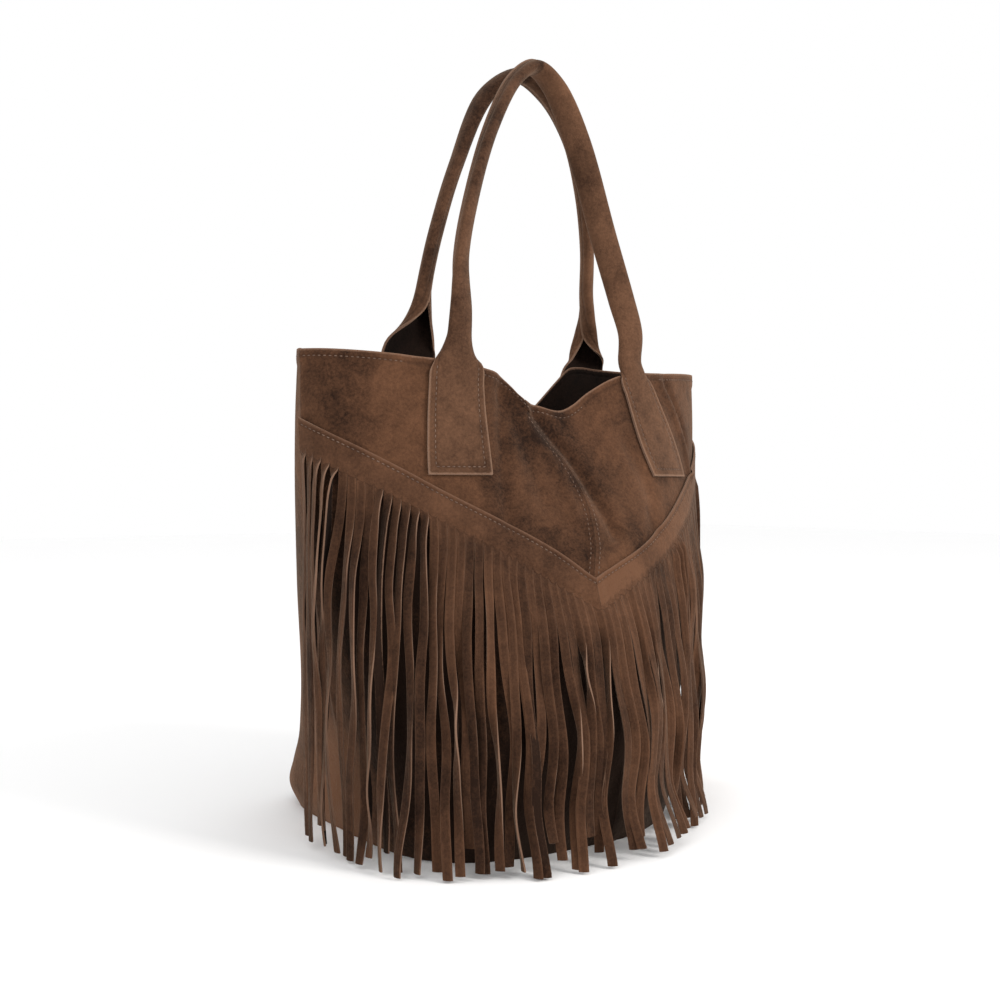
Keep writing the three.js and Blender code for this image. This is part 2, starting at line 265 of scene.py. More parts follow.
def lay(face, across, height, offset=0.0, follow=1.0):
    """Points lying on the wall, and their outward directions.

    What is cut with the panel follows the drawn seam; a tab, sewn on later, doesn't.
    """
    wall = WALLS[face]
    reach = wall.reach_at(across, height)
    if face == FRONT:
        drift = read(SEAM_DRIFT, height)[:, 0]
        distance = across * reach - (1 - follow) * drift
        across = across + follow * drift * bump(distance, DRIFT_WIDTH) / reach
    point = wall.at(across, height)
    out = facing(wall, across, height, face)
    # The folds, the middle seam and the side seams.
    if face == FRONT:
        push = creases(across * reach, height)
        push += (SEAM_RIDGE * bump(distance, SEAM_RIDGE_WIDTH)
                 + LAPPED_EDGE * bump(distance - LAPPED_EDGE_PLACE, LAPPED_EDGE_WIDTH))
    else:
        ripple = RIPPLE * np.sin(RIPPLES_ACROSS * across * reach + RIPPLES_UP * height)
        push = (BACK_SEAM_RIDGE * bump(across * reach, SEAM_RIDGE_WIDTH)
                + ripple * ease(0.05, 0.30, height) * bump(across, 0.75))
    seam = (1 - np.abs(across)) * reach
    push = (push * ease(SUEDE, SIDE_SEAM_STIFF, seam)
            + SIDE_SEAM_RIDGE * bump(seam, SIDE_SEAM_WIDTH))
    return point + out * (push + offset)[:, None], out


# Height of the top edge by distance from the middle. The back's is alike on both sides.
FRONT_RIM = np.array([
    (-0.222, 0.380), (-0.180, 0.3785), (-0.125, 0.3745), (-0.069, 0.3680), (-0.050, 0.3625),
    (-0.041, 0.3540), (-0.035, 0.3460), (-0.015, 0.3400), (0.006, 0.3365), (0.020, 0.3420),
    (0.035, 0.3520), (0.062, 0.3660), (0.080, 0.3710), (0.125, 0.3745), (0.180, 0.3785),
    (0.222, 0.380),
])
BACK_RIM = np.array([
    (0, 0.3220), (0.030, 0.3250), (0.045, 0.3330), (0.060, 0.3510), (0.074, 0.3710),
    (0.083, 0.3820), (0.095, 0.3850), (0.120, 0.3840), (0.170, 0.3820), (0.2015, 0.3800),
])


NEAR_RIM = 0.360


def rim_height(face, across):
    """Height of the top edge. Its distance from the middle depends on the height, so it settles."""
    height = np.full(len(across), NEAR_RIM)
    for settling in range(4):
        distance = lay(face, across, height)[0][:, 0]
        if face == FRONT:
            height = read(FRONT_RIM, distance)[:, 0]
        else:
            height = read(BACK_RIM, np.abs(distance))[:, 0]
    return height


class Wire:
    """A shader value that can be added, subtracted and multiplied."""

    def __init__(self, finish, socket):
        self.finish, self.socket = finish, socket

    def maths(self, operation, *values):
        return self.finish.node("ShaderNodeMath", {"operation": operation}, *values)

    def __add__(self, other):
        return self.maths("ADD", self, other)

    def __sub__(self, other):
        return self.maths("SUBTRACT", self, other)

    def __rsub__(self, other):
        return self.maths("SUBTRACT", other, self)

    def __mul__(self, other):
        return self.maths("MULTIPLY", self, other)


class Finish:
    """A material in the making."""

    def __init__(self, name):
        self.material = bpy.data.materials.new(name)
        self.material.use_nodes = True
        self.tree = self.material.node_tree
        self.shader = self.tree.nodes["Principled BSDF"]

    def put(self, socket, value):
        if isinstance(value, Wire):
            self.tree.links.new(value.socket, socket)
        else:
            socket.default_value = value

    def node(self, kind, settings, *values, output=0, **named):
        made = self.tree.nodes.new(kind)
        for key, value in settings.items():
            setattr(made, key, value)
        for socket, value in zip(made.inputs, values):
            self.put(socket, value)
        for key, value in named.items():
            self.put(made.inputs[key.replace("_", " ")], value)
        return Wire(self, made.outputs[output])

    def noise(self, place, scale, detail, rough=0.5, twist=0.0):
        return self.node("ShaderNodeTexNoise", {}, Vector=place, Scale=scale, Detail=detail,
                         Roughness=rough, Distortion=twist)

    def stretch(self, value, low, high):
        """Spreads the values from low to high over 0 to 1."""
        return self.node("ShaderNodeMapRange", {"clamp": True}, value, low, high, 0.0, 1.0)

    def attribute(self, name):
        return self.node("ShaderNodeAttribute", {"attribute_name": name}, output=2)

    def blend(self, share, first, second):
        """A share of the second colour over the first."""
        mix = self.tree.nodes.new("ShaderNodeMix")
        mix.data_type = "RGBA"
        self.put(mix.inputs[0], share)
        self.put(mix.inputs[6], first)
        self.put(mix.inputs[7], second)
        return Wire(self, mix.outputs[2])

    def set(self, **named):
        for key, value in named.items():
            self.put(self.shader.inputs[key.replace("_", " ")], value)


# Fineness of the suede's markings: clouds, brushed strokes, nap and single fibres.
CLOUDS, STROKES, NAP, FIBRES = 15, 60, 430, 1700
NAP_DEPTH = 0.0006
RAW_FROM, RAW_TO = 0.0003, 0.0019  # a raw edge is palest to the first and has faded by the second
SOFT_EDGE = 0.003  # a cut edge is rounded this far in
GROOVE = 0.0018  # half width of the groove that a row of stitches pulls
DEEP_PAINTED_SHADE = (0.010, 0.005, 0.003, 1)
SHEEN_TINT = (0.80, 0.58, 0.42, 1)


def suede(name, deep, pale, raw, stitching, sheen=0.18):
    """Suede: a napped surface in clouds of darker and paler brown, paler where a raw edge is near.

    A sheet's 'raw' attribute is the distance to its nearest cut edge. Its 'shade' is a tint, partly
    its own tone, partly painted light and shade; far below zero it gives near-black painted shade.
    The thread pulls a groove at the distance 'stitching' inside the edge, in painted shade.
    """
    finish = Finish(name)
    place = finish.node("ShaderNodeTexCoord", {}, output=3)
    drawn = finish.node("ShaderNodeMapping", {}, Vector=place, Scale=(1.0, 1.0, 0.55))
    clouds = finish.stretch(finish.noise(drawn, CLOUDS, 3, 0.55, 0.4), 0.36, 0.64)
    strokes = finish.stretch(finish.noise(place, STROKES, 4, 0.6, 0.8), 0.32, 0.68)
    nap = finish.stretch(finish.noise(place, NAP, 3, 0.75), 0.34, 0.66)
    fibre = finish.noise(place, FIBRES, 2, 0.6)
    tint = finish.attribute("shade")
    shade = clouds * 0.46 + strokes * 0.28 + nap * 0.30 + fibre * 0.14 - 0.14 + tint
    colour = finish.blend(finish.stretch(shade, 0.0, 1.0), deep, pale)
    # Painted shade: a tint far below zero, as under the fringe, turns the colour to near black.
    colour = finish.blend(finish.stretch(tint, -0.35, -1.0), colour, DEEP_PAINTED_SHADE)
    raw_distance = finish.attribute("raw")
    edge = raw_distance + (nap - 0.5) * 0.0010
    colour = finish.blend((1 - finish.stretch(edge, RAW_FROM, RAW_TO)) * 0.75, colour, raw)
    from_thread = finish.node("ShaderNodeMath", {"operation": "ABSOLUTE"},
                              raw_distance - stitching)
    pulled = 1 - finish.stretch(from_thread, 0.0, GROOVE)
    # Painted shade: the colour is darkened in the stitch groove.
    colour = finish.blend(pulled * 0.35, colour, deep)
    surface = (nap * 0.5 + fibre * 0.4 + strokes * 1.2 - pulled * 1.6
               + finish.stretch(edge, 0.0, SOFT_EDGE) * 0.6)
    normal = finish.node("ShaderNodeBump", {}, Strength=0.55, Distance=NAP_DEPTH, Height=surface)
    finish.set(Base_Color=colour, Normal=normal, Roughness=0.95, Specular_IOR_Level=0.12,
               Sheen_Weight=sheen, Sheen_Roughness=0.45, Sheen_Tint=SHEEN_TINT)
    return finish.material


HEM_STITCHING = 0.0055  # of the row of stitches from the edge
BODY_SUEDE = suede("body_suede", deep=(0.0130, 0.0052, 0.0026, 1), pale=(0.128, 0.057, 0.0285, 1),
                   raw=(0.20, 0.115, 0.075, 1), stitching=HEM_STITCHING)
# Painted shade: the inner side, also of strands and handles, is near black for the shade inside.
SHADED_INNER_SUEDE = suede("inner_suede_painted_shade", deep=(0.003, 0.0015, 0.0009, 1), pale=(0.015, 0.007, 0.0042, 1),
                    raw=(0.16, 0.09, 0.06, 1), stitching=HEM_STITCHING, sheen=0.02)
RAW_SUEDE = suede("raw_edge", deep=(0.090, 0.047, 0.029, 1), pale=(0.215, 0.128, 0.086, 1),
                  raw=(0.20, 0.118, 0.080, 1), stitching=HEM_STITCHING)
CRISP_ANGLE = 50


def grid_faces(number):
    """Faces between the neighbours in a grid of point numbers."""
    corners = [number[:-1, :-1], number[:-1, 1:], number[1:, 1:], number[1:, :-1]]
    return np.stack(corners, axis=-1).reshape(-1, 4)


def sheet_from_grid(name, point, out, thickness, nap, flat, raw, shade):
    """A sheet of suede through a grid of points, 'flat' being their places on the cut piece."""
    quads = grid_faces(np.arange(raw.size).reshape(raw.shape))
    return sheet_from_faces(name, point.reshape(-1, 3), out.reshape(-1, 3), quads, thickness,
                            nap, flat.reshape(-1, 2), raw.ravel(), shade.ravel())


def put_in_scene(name, mesh):
    piece = bpy.data.objects.new(name, mesh)
    scene.collection.objects.link(piece)
    bpy.ops.object.select_all(action="DESELECT")
    bpy.context.view_layer.objects.active = piece
    piece.select_set(True)
    return piece


def sheet_from_faces(name, point, out, quads, thickness, nap, flat, raw, shade):
    """A sheet of suede from faces, 'nap' being the finish of its outer side."""
    # The faces are turned outward.
    first, second, third = (point[quads[:, k]] for k in (0, 1, 2))
    lie = (np.cross(second - first, third - second) * out[quads[:, 0]]).sum()
    if lie < 0:
        quads = quads[:, ::-1]
    mesh = bpy.data.meshes.new(name)
    mesh.from_pydata(point.tolist(), [], quads.tolist())
    layout = mesh.uv_layers.new(name="cut")
    layout.data.foreach_set("uv", flat[quads.ravel()].ravel())
    for key, value in (("raw", raw), ("shade", shade)):
        mesh.attributes.new(key, "FLOAT", "POINT").data.foreach_set("value", value)
    mesh.shade_smooth()
    for finish in (nap, SHADED_INNER_SUEDE, RAW_SUEDE):
        mesh.materials.append(finish)
    piece = put_in_scene(name, mesh)
    wall = piece.modifiers.new("thickness", "SOLIDIFY")
    wall.thickness = thickness
    wall.offset = 0
    wall.material_offset = 1
    wall.material_offset_rim = 2
    bpy.ops.object.modifier_apply(modifier="thickness")
    bpy.ops.object.shade_smooth_by_angle(angle=math.radians(CRISP_ANGLE))
    return piece


# Height of the fringe's slanting edge at shares of the way from the middle to a side seam.
V_POINT = 0.2025
EDGE_HEIGHTS = {
    LEFT: np.array([
        (0.0, V_POINT), (0.09, 0.2160), (0.22, 0.2335), (0.36, 0.2515), (0.51, 0.2700),
        (0.66, 0.2890), (0.82, 0.3075), (1.0, 0.3270)]),
    RIGHT: np.array([
        (0.0, V_POINT), (0.09, 0.2130), (0.20, 0.2250), (0.30, 0.2370), (0.40, 0.2495),
        (0.56, 0.2700), (0.75, 0.2930), (1.0, 0.3220)]),
}


def edge_height(across):
    share = np.abs(across)
    return np.where(across < 0, read(EDGE_HEIGHTS[LEFT], share)[:, 0],
                    read(EDGE_HEIGHTS[RIGHT], share)[:, 0])


SEAM_GAP = 0.0007  # share of a panel left open at each seam
# The turned edge stands out and ends between two depths below the rim.
HEM_THICK, HEM_FROM, HEM_TO = 0.0009, 0.009, 0.012
# Painted light and shade in the nap's colour: painted shade under the fringe and beside the middle
# seam, painted light on the right half and shade on the left, painted light on the lower corners.
FRINGE_PAINTED_SHADE, SEAM_PAINTED_SHADE, HALF_PAINTED_LIGHT, CORNER_PAINTED_LIGHT = -0.50, -0.20, (-0.05, 0.09), 0.65
COVER_FROM, COVER_TO = 0.004, 0.030  # depths below the fringe's edge where its shade begins
SEAM_PAINTED_SHADE_WIDE = LIT_CORNER_WIDE = 0.30
LIT_CORNER_FROM, LIT_CORNER_TO = 0.03, 0.11  # heights between which the pale corners end


def make_panel(name, face, side, columns=84, rows=150):
    across = np.linspace(SEAM_GAP, 1 - SEAM_GAP, columns) * SIGN[side]
    rim = rim_height(face, across)
    up = np.linspace(0, 1, rows)[:, None]
    height = (up * rim[None]).ravel()
    across = np.tile(across, rows)
    point, out = lay(face, across, height)
    reach = WALLS[face].reach(side, height)
    flat = np.column_stack([np.abs(across) * reach, height])
    below_rim = (1 - up) * rim[None]
    # Painted shade: the wall under the fringe is darkened, as the fringe shades it.
    shade = np.zeros((rows, columns))
    if face == FRONT:
        places = across[:columns]
        fringe_shade = ease(COVER_FROM, COVER_TO, edge_height(places)[None] - up * rim[None])
        shade = FRINGE_PAINTED_SHADE * fringe_shade * ease(0.02, 0.20, 1 - np.abs(places))[None]
        # Painted shade by the caved-in middle seam; painted light by half, paler on the right.
        shade = shade + SEAM_PAINTED_SHADE * bump(places, SEAM_PAINTED_SHADE_WIDE)[None] + HALF_PAINTED_LIGHT[side]
    # Painted light: the bulging lower corners are made paler, as they catch the light.
    corner = bump(1 - np.abs(across), LIT_CORNER_WIDE).reshape(rows, columns) * (
        1 - ease(LIT_CORNER_FROM, LIT_CORNER_TO, up * rim[None]))
    shade = shade + CORNER_PAINTED_LIGHT * corner
    # The turned edge is thicker down to its stitching.
    point += out * (HEM_THICK * (1 - ease(HEM_FROM, HEM_TO, below_rim.ravel())))[:, None]
    return sheet_from_grid(name, point, out, SUEDE, BODY_SUEDE, flat, below_rim, shade)


front_left = make_panel("front_panel_left_suede", FRONT, LEFT)
front_right = make_panel("front_panel_right_suede", FRONT, RIGHT)
for piece, node in ((front_left, "front_panel_left"), (front_right, "front_panel_right")):
    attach(piece, "root")
    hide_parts(node)


# ---- Back panels ----
# Two plain panels of the same suede, joined down the middle and to the front at the side seams.
# They sag more than the front between the handles and stand fuller at the bottom.

back_left = make_panel("back_panel_left_suede", BACK, LEFT)
back_right = make_panel("back_panel_right_suede", BACK, RIGHT)
for piece, node in ((back_left, "back_panel_left"), (back_right, "back_panel_right")):
    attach(piece, "root")
    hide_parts(node)


# ---- Base ----
# One flat oval of suede that closes the bottom. The panels' lower edges are sewn round it.

BASE_INSET = 0.0019  # from the middle of the wall
BASE_THICK = SUEDE * 0.999
# Rings of faces from the edge inward: share of the outline, and distance to the edge.
BASE_RINGS = ((1.0, 0.0), (0.985, 0.002), (0.8, 0.03), (0.55, 0.06), (0.3, 0.1))
BASE_MIDDLE = 0.14


def make_base(columns=97):
    turn = np.linspace(-1, 1, columns)
    low = np.full(len(turn), SUEDE / 2)
    front = lay(FRONT, turn, low, -BASE_INSET)[0]
    back = lay(BACK, turn[::-1][1:-1], low[1:-1], -BASE_INSET)[0]
    outline = np.concatenate([front, back])
    outline[:, 2] = SUEDE / 2
    middle = outline.mean(axis=0)
    rings = [middle + (outline - middle) * share for share, inside in BASE_RINGS]
    count = len(outline)
    point = np.concatenate([*rings, middle[None]])
    number = np.arange(len(rings) * count).reshape(len(rings), count)
    number = np.column_stack([number, number[:, 0]])
    inmost, centre = number[-1], np.full(count // 2, len(point) - 1)
    quads = np.concatenate([grid_faces(number), np.column_stack(
        [inmost[:-1:2], inmost[1::2], inmost[2::2], centre])])
    out = np.tile((0.0, 0.0, -1.0), (len(point), 1))
    raw = np.concatenate([np.full(count, inside) for share, inside in BASE_RINGS]
                         + [[BASE_MIDDLE]])
    return sheet_from_faces("base_panel_suede", point, out, quads, BASE_THICK, BODY_SUEDE,
                            point[:, :2], raw, np.zeros(len(point)))


base = make_base()
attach(base, "root")
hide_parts("base_panel")


# ---- Fringes ----
# Two sheets of 1.4 mm suede, slit into 35 strands each below an uncut band. The band is sewn on
# along the V. The strands leave the body below it, twist and drift, and end just off the floor.

FRINGE_SUEDE = 0.0014
FRINGE_OFFSET = 0.0029  # of the middle of the band from the middle of the wall
FRINGE_STITCHING = 0.0042
BAND_HEIGHT = 0.020
STRANDS = 35
SETTLE = 0.080  # a strand leaves the wall over this length below its slit

# Plan on which the free strands hang, in the columns of the wall's plan.
CURTAIN_PLAN = np.array([
    (0, 0.1995, 0.1925, 0.174, 0.174, 2.6, 1.30, 2.5, 0, 0),
    (0.040, 0.2005, 0.1955, 0.164, 0.164, 2.5, 1.32, 2.5, 0, 0),
    (0.090, 0.2015, 0.2005, 0.158, 0.158, 2.5, 1.36, 2.5, 0, 0),
    (0.145, 0.2015, 0.1945, 0.138, 0.138, 2.4, 1.45, 2.5, 0.006, 0),
    (0.200, 0.2015, 0.1925, 0.119, 0.119, 2.3, 1.55, 2.5, 0.012, 0),
    (0.325, 0.2015, 0.1990, 0.078, 0.078, 1.9, 1.70, 2.5, 0.005, 0.016),
])
CURTAIN = Wall(CURTAIN_PLAN, FRONT)
# The strands under the point of the V hang a little to the left.
CURTAIN_DRIFT = np.array([
    (0, -0.030), (0.040, -0.027), (0.100, -0.016), (0.150, -0.010), (0.200, -0.006),
    (0.325, -0.003),
])
CURTAIN_DRIFT_WIDTH = 0.105

FRINGE_FINISH = suede("fringe_suede", deep=(0.0150, 0.0062, 0.0032, 1),
                      pale=(0.112, 0.051, 0.0265, 1), raw=(0.138, 0.074, 0.046, 1),
                      stitching=FRINGE_STITCHING)


def hang(across, height, top):
    """Where a strand hangs at each height: on the wall below its slit, then free of it."""
    free = ease(0, SETTLE, top - height)[:, None]
    on_wall, wall_out = lay(FRONT, across, height, FRINGE_OFFSET)
    reach = CURTAIN.reach_at(across, height)
    drift = read(CURTAIN_DRIFT, height)[:, 0]
    across = across + drift * bump(across * reach, CURTAIN_DRIFT_WIDTH) / reach
    curtain, curtain_out = CURTAIN.at(across, height), facing(CURTAIN, across, height, FRONT)
    out = wall_out * (1 - free) + curtain_out * free
    return on_wall * (1 - free) + curtain * free, out / np.linalg.norm(out, axis=1)[:, None]


def wave(random, down, lengths, sizes):
    """A smooth random line: a sum of waves of the given lengths and sizes."""
    total = np.zeros(len(down))
    for length, size in zip(lengths, sizes):
        total += size * np.sin(2 * np.pi * (down / length + random.random()))
    return total


FRINGE_GAP = 0.001  # share of a fringe left open at each end
SLIT_UNEVEN, SLIT_BEAT = 0.0012, 2.4
TIP_LOW, TIP_RANGE, TIP_POWER = 0.0012, 0.020, 2.5  # few tips end much above the lowest
ROW_CROWDING = 1.15
# Lengths below its slit over which a strand comes free to lift, to sway and to turn.
LIFT_FREE, SWAY_FREE, TURN_FREE = 0.10, 0.15, 0.06
# Lengths and sizes of the waves down a strand.
SWAY_WAVES = ((0.31, 0.17, 0.09), (0.0027, 0.0017, 0.0006))
LIFT_WAVES = ((0.33, 0.14), (0.0022, 0.0012))
TURN_WAVES = ((0.36, 0.19, 0.08), (0.32, 0.24, 0.12))
# Neighbours sway together: size, strands to a wave and slope down the strands.
GROUP_WAVES = ((0.0022, 7.3, 5), (0.0014, 3.7, -9))
SECOND_LIFT = 0.0018  # every second strand hangs this much further out
STEADY_TURN = 0.22
# Some strands curl once: how many, where, over what length and how far.
CURLED = 0.34
CURL_PLACE, CURL_LENGTH, CURL_TURN, CURL_LIFT = (0.03, 0.20), (0.020, 0.030), (0.8, 0.8), 0.0016
# Others are turned edge on under the band.
EDGE_ON_LENGTH, EDGE_ON_LEFT, EDGE_ON_TURN = 0.070, 0.12, (0.55, 0.60)
EDGE_ON_SWAY, EDGE_ON_LIFT = 0.0022, 0.0030
PARTING, PARTING_WIDE = 0.006, 0.07  # of the strands on either side of the point of the V
STRAND_WIDER, STRAND_VARIES, FOOT_WIDER = 0.04, 0.06, 0.02  # shares of a strand's width
STILL_FROM = 0.88  # strands past this share of the way to the side seam keep still
FOOT_SPREAD, FOOT_HEIGHT = 0.012, 0.05
ARCH = 0.0009
# Tints of the bands, the slits and the strands, and how much the strands differ.
# The tints by side are painted light: paler on the right fringe, where the light falls, darker on
# the left.
BAND_PAINTED_LIGHT, SLIT_TINT, STRAND_PAINTED_LIGHT, TINT_RANGE = (0.06, 0.36), 0.06, (-0.03, 0.09), 0.15
# Distances to a cut edge across a strand, and where the suede isn't cut.
STRAND_RAW, UNCUT = np.array([0.0012, 0.0040, 0.0040, 0.0012]), 0.02


def draw(random, low, extra):
    """A number between a lowest value and that much more."""
    return low + extra * random.random()


def make_fringe(name, side, seed, edge_on):
    """One fringe. 'edge_on' holds the first, last and strength of strands turned edge on."""
    random = np.random.default_rng(seed)
    sign = SIGN[side]
    per_strand, rows, band_rows = 3, 58, 7
    columns = STRANDS * per_strand + 1
    share = np.linspace(FRINGE_GAP, 1 - FRINGE_GAP, columns)
    across = sign * share
    edge = edge_height(across)
    reach = WALLS[FRONT].reach(side, edge)
    points, outs, flats, raws, shades = [], [], [], [], []
    cut_end = SLIT_UNEVEN * np.sin(np.arange(columns) * SLIT_BEAT)
    for k in range(band_rows):
        down = k / (band_rows - 1)
        height = edge - down * (BAND_HEIGHT + cut_end)
        point, out = lay(FRONT, across, height, FRINGE_OFFSET)
        points.append(point)
        outs.append(out)
        flats.append(np.column_stack([share * reach, edge - height]))
        raws.append(edge - height)
        # Painted light: the right fringe's band is made paler than the left's.
        shades.append(np.full(columns, BAND_PAINTED_LIGHT[side]))
    count = band_rows * columns
    number = np.arange(count).reshape(band_rows, columns)
    quads = [grid_faces(number)]
    band_foot, band_end = number[-1], points[-1]
    foot_height = edge - BAND_HEIGHT - cut_end
    # Four are drawn and two used, so that every strand keeps its own waves.
    group_starts = random.random(4)[:len(GROUP_WAVES)]
    for k in range(STRANDS):
        own = slice(k * per_strand, k * per_strand + per_strand + 1)
        top = foot_height[own].mean()
        middle = (k + 0.5) / STRANDS
        tip = TIP_LOW + TIP_RANGE * random.random() ** TIP_POWER
        down = np.linspace(0, 1, rows) ** ROW_CROWDING * (top - tip)
        height = top - down
        centre, out = hang(np.full(rows, sign * middle), height, top)
        along = np.column_stack([-out[:, 1], out[:, 0], np.zeros(rows)]) * sign
        loose = ease(0.0, LIFT_FREE, down)
        group = sum(size * np.sin(2 * np.pi * (k / strands + start) + slope * down)
                    for (size, strands, slope), start in zip(GROUP_WAVES, group_starts))
        sway = loose * group + ease(0, SWAY_FREE, down) * wave(random, down, *SWAY_WAVES)
        lift = loose * (SECOND_LIFT * (k % 2) + wave(random, down, *LIFT_WAVES))
        turn = ease(0.0, TURN_FREE, down) * (
            sign * STEADY_TURN + wave(random, down, *TURN_WAVES))
        if random.random() < CURLED:
            place, long = draw(random, *CURL_PLACE), draw(random, *CURL_LENGTH)
            turn += sign * draw(random, *CURL_TURN) * bump(down - place, long)
            lift += CURL_LIFT * bump(down - place, long)
        for first, last, strength in edge_on:
            if first <= k <= last:
                twist = ease(0.001, 0.016, down) * (
                    EDGE_ON_LEFT + (1 - EDGE_ON_LEFT) * bump(down, EDGE_ON_LENGTH))
                turn += sign * strength * twist * draw(random, *EDGE_ON_TURN)
                sway += EDGE_ON_SWAY * -sign * ease(0.004, 0.03, down) * bump(down, 0.11)
                lift += EDGE_ON_LIFT * ease(0.0, 0.014, down) * bump(down, 0.10)
        sway += PARTING * bump(middle, PARTING_WIDE) * ease(0.02, 0.12, down)
        width = WALLS[FRONT].reach(side, np.array([top]))[0] / STRANDS
        width = width * (
            1 + ease(0.005, 0.04, down) * (STRAND_WIDER - STRAND_VARIES * random.random())
            + FOOT_WIDER * ease(0.05, 0.28, down))
        moving = ease(1.0, STILL_FROM, middle)
        sway, lift = sway * (0.15 + 0.85 * moving), lift * (0.1 + 0.9 * moving)
        turn = turn * (0.45 + 0.55 * moving)
        # The foot of a strand spreads forward on the floor.
        lift += random.random() * FOOT_SPREAD * ease(FOOT_HEIGHT, 0.0, height) * ease(
            0.85, 0.55, middle)
        centre = centre + along * sway[:, None] + out * lift[:, None]
        # A random tone of its own, plus painted light by side: paler on the right.
        tint = TINT_RANGE * random.standard_normal() + STRAND_PAINTED_LIGHT[side]
        wide = along * np.cos(turn)[:, None] + out * np.sin(turn)[:, None]
        deep = out * np.cos(turn)[:, None] - along * np.sin(turn)[:, None]
        strand = []
        for j in range(per_strand + 1):
            place = j / per_strand - 0.5
            arch = ARCH * ease(0, 0.03, down) * (1 - (2 * place) ** 2)
            strand.append(centre + wide * (place * width)[:, None] + deep * arch[:, None])
        strand = np.stack(strand, axis=1)
        # The strand grows out of the foot of the band.
        settle = (1 - ease(0, 0.010, down))[:, None, None]
        base_row = band_end[own][None] - np.array([0, 0, 1.0]) * down[:, None, None]
        strand = (strand * (1 - settle) + base_row * settle)[1:]
        numbers = count + np.arange((rows - 1) * (per_strand + 1)).reshape(rows - 1, -1)
        quads.append(grid_faces(np.concatenate([band_foot[own][None], numbers])))
        points.append(strand.reshape(-1, 3))
        outs.append(np.repeat(out[1:], per_strand + 1, axis=0))
        corners = np.linspace(0, 1, per_strand + 1) - 0.5
        place = (middle + corners / STRANDS) * reach[own].mean()
        flats.append(np.column_stack([np.tile(place, rows - 1),
                                      np.repeat(BAND_HEIGHT + down[1:], per_strand + 1)]))
        cut = ease(0, 0.006, down[1:])[:, None]
        raws.append((STRAND_RAW[None] * cut + UNCUT * (1 - cut)).ravel())
        shades.append(np.repeat(SLIT_TINT - (SLIT_TINT - tint) * ease(0, 0.03, down[1:]),
                                per_strand + 1))
        count += (rows - 1) * (per_strand + 1)
    return sheet_from_faces(name, np.concatenate(points), np.concatenate(outs),
                            np.concatenate(quads), FRINGE_SUEDE, FRINGE_FINISH,
                            np.concatenate(flats), np.concatenate(raws), np.concatenate(shades))


fringe_left = make_fringe("front_fringe_left_suede", LEFT, seed=11,
                          edge_on=((30, 34, 1.15), (20, 25, 1.15)))
fringe_right = make_fringe("front_fringe_right_suede", RIGHT, seed=23,
                           edge_on=((13, 15, 0.9),))
for piece, node in ((fringe_left, "front_fringe_left"), (fringe_right, "front_fringe_right")):
    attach(piece, "root")
    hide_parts(node)


# ---- Handles ----
# Each handle is one 52 mm strip of 2 mm suede. Its ends lie flat on the wall as tabs. Above the
# rim the strip rolls up into a flattened tube, open towards the mouth of the bag.

STRIP_WIDTH = 0.052
TAB_BOTTOM = 0.283
TAB_OFFSET = 0.0031  # of the middle of a tab from the middle of the wall
HANDLE_STITCHING = 0.0062
LIFT_BELOW, LIFT_ABOVE = 0.006, 0.016  # the strip leaves the wall between these, round the rim
FOLLOW_ABOVE = 0.008  # its middle line follows the wall this far above the rim
# Heights between which each handle's left and right ends roll up.
NECKS = {FRONT: ((0.354, 0.396), (0.352, 0.390)), BACK: ((0.364, 0.444), (0.367, 0.418))}
# Where each tab begins to narrow toward its handle, and by what share of its width.
TUCKS = {FRONT: ((0.283, 0.12), (0.300, 0.34)), BACK: ((0.300, 0.00), (0.300, 0.10))}
# The rolled tube: its turns, its stretch sideways and in depth, and how one edge laps over.
TUBE_TURN, OVAL_WIDE, OVAL_DEEP, LAP = 1.03, 1.30, 0.62, 0.13
LEAST_ROLL = 0.01
ROLL_SWELL = 0.005  # a strip that begins to roll swells off the wall
HEADING_BLUR = 5
# Painted light: left ends darker, right ends paler; then a wave of paler and darker along the strip.
ARM_PAINTED_LIGHT, ARM_WAVE, ARM_WAVE_LONG = (-0.22, 0.14), 0.10, 9

# Route of each handle's middle line and the heading, in degrees, of the strip's wide direction.
FRONT_ROUTE = np.array([
    (-0.093, -0.055, 0.412, 15), (-0.089, -0.050, 0.456, 50), (-0.079, -0.048, 0.500, 55),
    (-0.057, -0.044, 0.562, 71), (-0.028, -0.038, 0.610, 86), (-0.005, -0.034, 0.6245, 94),
    (0.015, -0.034, 0.612, 110), (0.038, -0.037, 0.568, 135), (0.062, -0.043, 0.489, 144),
    (0.076, -0.050, 0.436, 150), (0.083, -0.054, 0.406, 168),
])
REAR_ROUTE = np.array([
    (-0.078, 0.030, 0.424, 205), (-0.075, 0.025, 0.456, 232), (-0.069, 0.020, 0.490, 235),
    (-0.055, 0.012, 0.544, 248), (-0.030, 0.002, 0.607, 280), (-0.002, -0.006, 0.6265, 280),
    (0.028, -0.006, 0.614, 262), (0.056, -0.002, 0.583, 250), (0.077, 0.006, 0.540, 240),
    (0.090, 0.014, 0.490, 238), (0.094, 0.020, 0.452, 238), (0.099, 0.026, 0.428, 262),
])
# Distance of each tab round the wall from the middle, and how far its foot slants outward.
TABS = {FRONT: ((0.0945, 0.006), (0.085, 0.027)), BACK: ((0.085, 0.004), (0.1025, 0.000))}
CLEAR_OF_RIM = {FRONT: 0.3725, BACK: 0.3845}

HANDLE_SUEDE = suede("handle_suede", deep=(0.021, 0.009, 0.0047, 1), pale=(0.145, 0.07, 0.038, 1),
                     raw=(0.21, 0.125, 0.082, 1), stitching=HANDLE_STITCHING)


def tucked(face, side, height):
    """The share of its width that a tab keeps at each height."""
    start, share = TUCKS[face][side]
    return 1 - share * ease(start, CLEAR_OF_RIM[face], height)


